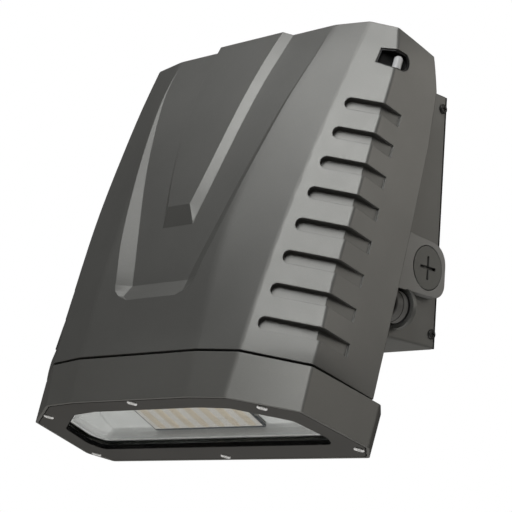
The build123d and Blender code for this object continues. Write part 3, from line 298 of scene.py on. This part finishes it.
give(metal("galvanised", (0.55, 0.56, 0.56), 0.42, (1.0, 1.0, 0.05)), "wall_plate")
give(metal("driver_case", (0.52, 0.53, 0.54), 0.40, (0.06, 1.0, 1.0)), "driver")
give(metal("carrier_cast", (0.50, 0.50, 0.50), 0.52), "led_carrier")
give(powder_coat("green_screw", (0.03, 0.20, 0.07), 0.32, 0.0003), "ground_screw")
rubber_black = rubber("rubber_black", (0.012, 0.012, 0.012))
give(rubber_black, "seam_gasket", "wall_gasket", "rear_gasket")
give(rubber_black, "gland_washer", "gland_seal", "cable_grommet")
give(rubber("rubber_lens", (0.006, 0.006, 0.006), 0.80, 0.08), "lens_gasket")
plastic_black = plastic("plastic_black", (0.014, 0.014, 0.014), 0.42)
give(plastic_black, "photocell_cup", "friction_washers", "surge_protector")
give(plastic("plastic_grey", (0.205, 0.203, 0.194), 0.38), "gland_body", "gland_nut")
give(plastic("plastic_white", (0.70, 0.70, 0.67), 0.35), "terminal_block", "wire_connector")
dome_white = plastic("dome_white", (0.95, 0.96, 0.97), 0.12, bump=0.02, Transmission_Weight=0.15, IOR=1.45)
give(dome_white, "photocell_dome")
give(plastic("tray_white", (0.94, 0.945, 0.94), 0.50, 0.003, bump=0.03), "reflector_tray")
give(thin_glass("lens_clear"), "glass_lens")


# ---------------------------------------------------------------- LED board and bezel screws
# lengths in head measures (mm)
BOARD_LEAN = 10.8     # degrees, rear edge lower
BOARD_BACK = 41.4     # rear edge of the board
BOARD_Z = 10.0        # height of the lit face at the rear edge
BOARD_HALF = 47.3     # half width
BOARD_SHADOW_STRIP = 1.6       # painted shadow strip along the rear edge, half as wide at the sides
CHIP_PITCH = 13.0     # from one LED column to the next
BAR_COLUMNS = 7
BAR_HALF = 3.3        # half width of a bar
BAR_T = 0.6           # height of its dome
BAR_LIFT = 0.02       # from the board to its foot
BAR_TAPER = 0.45      # share of its width that is lost at the very ends
BAR_STEPS = 8         # faces across it
# how far a bar has risen, 0 to 1, at each place along it
BAR_RISE = (
    (-4.0, 0.0), (-3.4, 0.6), (-2.4, 0.9), (-1.0, 1.0), (17.0, 1.0),
    (36.0, 1.0), (37.4, 0.9), (38.4, 0.6), (39.0, 0.0),
)
BEZEL_SCREWS = [(92.3, -8.0), (-92.3, -8.0), (113.0, 53.6), (-113.0, 53.6), (0.0, -22.1), (0.0, 60.6)]
SCREW_FACE_Z = -0.7   # height of the screws' faces
HIGHLIGHT_HALF = 1.8     # half width of the painted highlight band on a face
HIGHLIGHT_END = 2.2      # where the painted highlight has faded out


def led_face():
    """White board with warm bands under the LED columns, painted shade on its cut edges and a painted
    shadow strip along its rear edge and sides.
    """
    m = Mat("board_mask")
    geometry = m.add("ShaderNodeNewGeometry")
    dot = m.add("ShaderNodeVectorMath", operation="DOT_PRODUCT")
    m.link(geometry.outputs["Normal"], dot.inputs[0])
    lean = TILT + math.radians(BOARD_LEAN)
    dot.inputs[1].default_value = (0.0, -math.sin(lean), -math.cos(lean))
    # painted shade: faces not turned along the board's face, its cut edges, take the near-black colour
    lit = m.math("GREATER_THAN", dot.outputs["Value"], 0.7)
    place = m.add("ShaderNodeSeparateXYZ")
    m.link(m.coord, place.inputs[0])
    wave = m.math("COSINE", m.math("MULTIPLY", place.outputs[0], 2000.0 * math.pi / CHIP_PITCH))
    mask = m.noise(55.0, 3.0)
    pale = m.ramp(mask, [(0.3, (0.91, 0.87, 0.83)), (0.7, (0.95, 0.91, 0.87))])
    tone = m.mix(m.spread(wave, 0.0, 1.0, 0.1, 0.95), pale, (0.88, 0.79, 0.65))
    along = m.add("ShaderNodeVectorMath", operation="DOT_PRODUCT")
    m.link(m.coord, along.inputs[0])
    along.inputs[1].default_value = (0.0, math.cos(TILT), -math.sin(TILT))
    # painted shadow: a near-black strip along the rear edge, half as wide along the sides
    shadow_strip_point = head_point(0.0, BOARD_BACK - BOARD_SHADOW_STRIP, 0.0)
    shadow_strip_edge = shadow_strip_point.y * math.cos(TILT) - shadow_strip_point.z * math.sin(TILT)
    behind = m.math("GREATER_THAN", along.outputs["Value"], shadow_strip_edge)
    side = (BOARD_HALF - BOARD_SHADOW_STRIP / 2.0) / 1000.0
    beside = m.math("GREATER_THAN", m.math("ABSOLUTE", place.outputs[0]), side)
    lit = m.math("MULTIPLY", lit, m.math("SUBTRACT", 1.0, m.math("MAXIMUM", behind, beside)))
    # near-black colour for the painted shade on the cut edges and the painted shadow strip
    tone = m.mix(lit, (0.050, 0.058, 0.072), tone)
    normal = m.bump(m.noise(900.0, 2.0), 0.05, 0.0001)
    m.surface(tone, m.spread(mask, 0.30, 0.38), normal)
    return m.mat


def phosphor():
    """Warm satin coating of the LED bars."""
    m = Mat("led_phosphor")
    cell = m.noise(420.0, 2.0)
    tone = m.ramp(cell, [(0.3, (0.86, 0.75, 0.60)), (0.7, (0.91, 0.81, 0.67))])
    normal = m.bump(cell, 0.05, 0.0001)
    m.surface(tone, m.spread(cell, 0.32, 0.40), normal, Coat_Weight=0.1, Coat_Roughness=0.15)
    return m.mat


def screw_heads_painted_highlight():
    """Stainless heads with a painted highlight: a bright band across each face, square to the camera's
    heading, and darker colour in front of it and behind it.
    """
    m = Mat("stainless_painted_highlight")
    # painted highlight: the band runs through each screw's centre, square to the camera's heading
    across = Vector((math.sin(VIEW_AZ), -math.cos(VIEW_AZ), 0.0))
    along = m.add("ShaderNodeVectorMath", operation="DOT_PRODUCT")
    m.link(m.coord, along.inputs[0])
    along.inputs[1].default_value = across
    nearest = None
    for x, y in BEZEL_SCREWS:
        centre = head_point(x, y, SCREW_FACE_Z).dot(across)
        off = m.math("ABSOLUTE", m.math("SUBTRACT", along.outputs["Value"], centre))
        nearest = off if nearest is None else m.math("MINIMUM", nearest, off)
    streak = m.noise(700.0, 3.0, 0.6)
    painted_highlight = m.ramp(streak, [(0.3, (0.92, 0.92, 0.91)), (0.7, (0.99, 0.99, 0.98))])
    highlight_falloff = m.spread(nearest, 0.0, 1.0, HIGHLIGHT_HALF / 1000.0, HIGHLIGHT_END / 1000.0)
    tone = m.mix(highlight_falloff, painted_highlight, (0.20, 0.20, 0.19))
    normal = m.bump(streak, 0.08, 0.0001, m.soft_edges(0.0003))
    m.surface(tone, m.spread(streak, 0.36, 0.46), normal, metallic=0.1)
    return m.mat


def bar_point(middle, y, rise, step):
    """Point on the dome of the bar whose middle line is at that x, in row metres."""
    angle = math.pi * step / BAR_STEPS
    x = middle - BAR_HALF * math.cos(angle) * (1.0 - BAR_TAPER + BAR_TAPER * rise)
    drop = BAR_LIFT + BAR_T * math.sin(angle) * rise
    z = BOARD_Z + (BOARD_BACK - y) * math.tan(math.radians(BOARD_LEAN)) - drop
    return head_point(x, y, z)


def link_piece(name, bm, material):
    """A new object from that bmesh, with one material."""
    mesh = bpy.data.meshes.new(name)
    bm.to_mesh(mesh)
    bm.free()
    piece = bpy.data.objects.new(name, mesh)
    piece.data.materials.append(material)
    scene.collection.objects.link(piece)
    return piece


def led_bars():
    """Smooth domed bars, as the photo shows the LED columns."""
    bm = bmesh.new()
    for column in range(BAR_COLUMNS):
        middle = (column - (BAR_COLUMNS - 1) / 2) * CHIP_PITCH
        rings = []
        for y, rise in BAR_RISE:
            rings.append([bm.verts.new(bar_point(middle, y, rise, step)) for step in range(BAR_STEPS + 1)])
        for near, far in zip(rings, rings[1:]):
            for step in range(BAR_STEPS):
                bm.faces.new((near[step], near[step + 1], far[step + 1], far[step]))
    bmesh.ops.recalc_face_normals(bm, faces=bm.faces)
    for face in bm.faces:
        face.smooth = True
    return link_piece("led_bars", bm, phosphor())


give(led_face(), "led_board")
give(screw_heads_painted_highlight(), "bezel_screws")
bars = led_bars()
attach(bars, "head")
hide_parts("led_chips")

# ---------------------------------------------------------------- camera
camera_data = bpy.data.cameras.new("view")
camera_data.sensor_width = SENSOR
camera_data.sensor_fit = "HORIZONTAL"
camera_data.lens = FOCAL_PX / PHOTO_PX * SENSOR
camera_data.clip_start = 0.05
camera_data.clip_end = 20.0
camera = bpy.data.objects.new("view", camera_data)
scene.collection.objects.link(camera)
back = Vector((
    math.sin(VIEW_AZ) * math.cos(VIEW_EL),
    -math.cos(VIEW_AZ) * math.cos(VIEW_EL),
    math.sin(VIEW_EL),
))
level = Vector((math.cos(VIEW_AZ), math.sin(VIEW_AZ), 0.0))
upright = back.cross(level)
right = level * math.cos(VIEW_ROLL) + upright * math.sin(VIEW_ROLL)
up = upright * math.cos(VIEW_ROLL) - level * math.sin(VIEW_ROLL)
turn = Matrix((right, up, back)).transposed()
camera.matrix_world = Matrix.Translation(VIEW_PLACE) @ turn.to_4x4()
scene.camera = camera

# ---------------------------------------------------------------- stage and light
FLOOR_Z = -2.2        # far below the light, which hangs on a wall
FLOOR_HALF = 3.0
FILL = 0.055          # world light on the object
WHITE = (1.0, 1.0, 1.0, 1.0)


def stage_paper():
    """Pale paper that the camera sees as plain white."""
    m = Mat("stage_pale")
    fibre = m.noise(3.0, 2.0)
    paper = m.surface(m.ramp(fibre, [(0.3, (0.80, 0.80, 0.80)), (0.7, (0.84, 0.84, 0.84))]), 0.9)
    plain = m.add("ShaderNodeEmission")
    plain.inputs["Color"].default_value = WHITE
    path = m.add("ShaderNodeLightPath")
    mixer = m.add("ShaderNodeMixShader")
    m.link(path.outputs["Is Camera Ray"], mixer.inputs["Fac"])
    m.link(paper.outputs["BSDF"], mixer.inputs[1])
    m.link(plain.outputs["Emission"], mixer.inputs[2])
    m.link(mixer.outputs["Shader"], m.out.inputs["Surface"])
    return m.mat


grid = bmesh.new()
bmesh.ops.create_grid(grid, x_segments=2, y_segments=2, size=FLOOR_HALF)
floor = link_piece("floor", grid, stage_paper())
floor.location = (0.0, -0.5, FLOOR_Z)


def studio_world():
    """Plain white to the camera, and a dim warm fill on the object."""
    world = bpy.data.worlds.new("studio")
    world.use_nodes = True
    tree = world.node_tree
    tree.nodes.clear()
    out = tree.nodes.new("ShaderNodeOutputWorld")
    seen = tree.nodes.new("ShaderNodeBackground")
    seen.inputs["Color"].default_value = WHITE
    seen.inputs["Strength"].default_value = 1.0
    fill = tree.nodes.new("ShaderNodeBackground")
    fill.inputs["Color"].default_value = (1.0, 0.98, 0.93, 1.0)
    fill.inputs["Strength"].default_value = FILL
    path = tree.nodes.new("ShaderNodeLightPath")
    mixer = tree.nodes.new("ShaderNodeMixShader")
    tree.links.new(path.outputs["Is Camera Ray"], mixer.inputs["Fac"])
    tree.links.new(fill.outputs["Background"], mixer.inputs[1])
    tree.links.new(seen.outputs["Background"], mixer.inputs[2])
    tree.links.new(mixer.outputs["Shader"], out.inputs["Surface"])
    return world


scene.world = studio_world()


def lamp(name, place, target, size, watts, colour, size_y=None):
    """Soft rectangular lamp at that place, turned to the target."""
    data = bpy.data.lights.new(name, "AREA")
    data.shape = "RECTANGLE"
    data.size = size
    data.size_y = size_y or size
    data.energy = watts
    data.color = colour
    item = bpy.data.objects.new(name, data)
    item.location = place
    aim = Vector(target) - Vector(place)
    item.rotation_euler = aim.to_track_quat("-Z", "Y").to_euler()
    scene.collection.objects.link(item)


MIDDLE = (0.0, -0.10, -0.02)
lamp("key", (0.80, -1.32, 1.32), MIDDLE, 0.75, 17.6, (0.985, 0.995, 1.0), 1.45)
lamp("crown", (-0.35, -0.75, 1.35), MIDDLE, 0.9, 5.5, (0.99, 0.995, 1.0))
lamp("side", (1.45, 0.85, 0.70), MIDDLE, 1.0, 4.3, (1.0, 0.96, 0.91))
lamp("low", (0.12, -0.42, -1.38), MIDDLE, 0.8, 10.0, (1.0, 0.98, 0.96))
scene.view_settings.view_transform = "Standard"
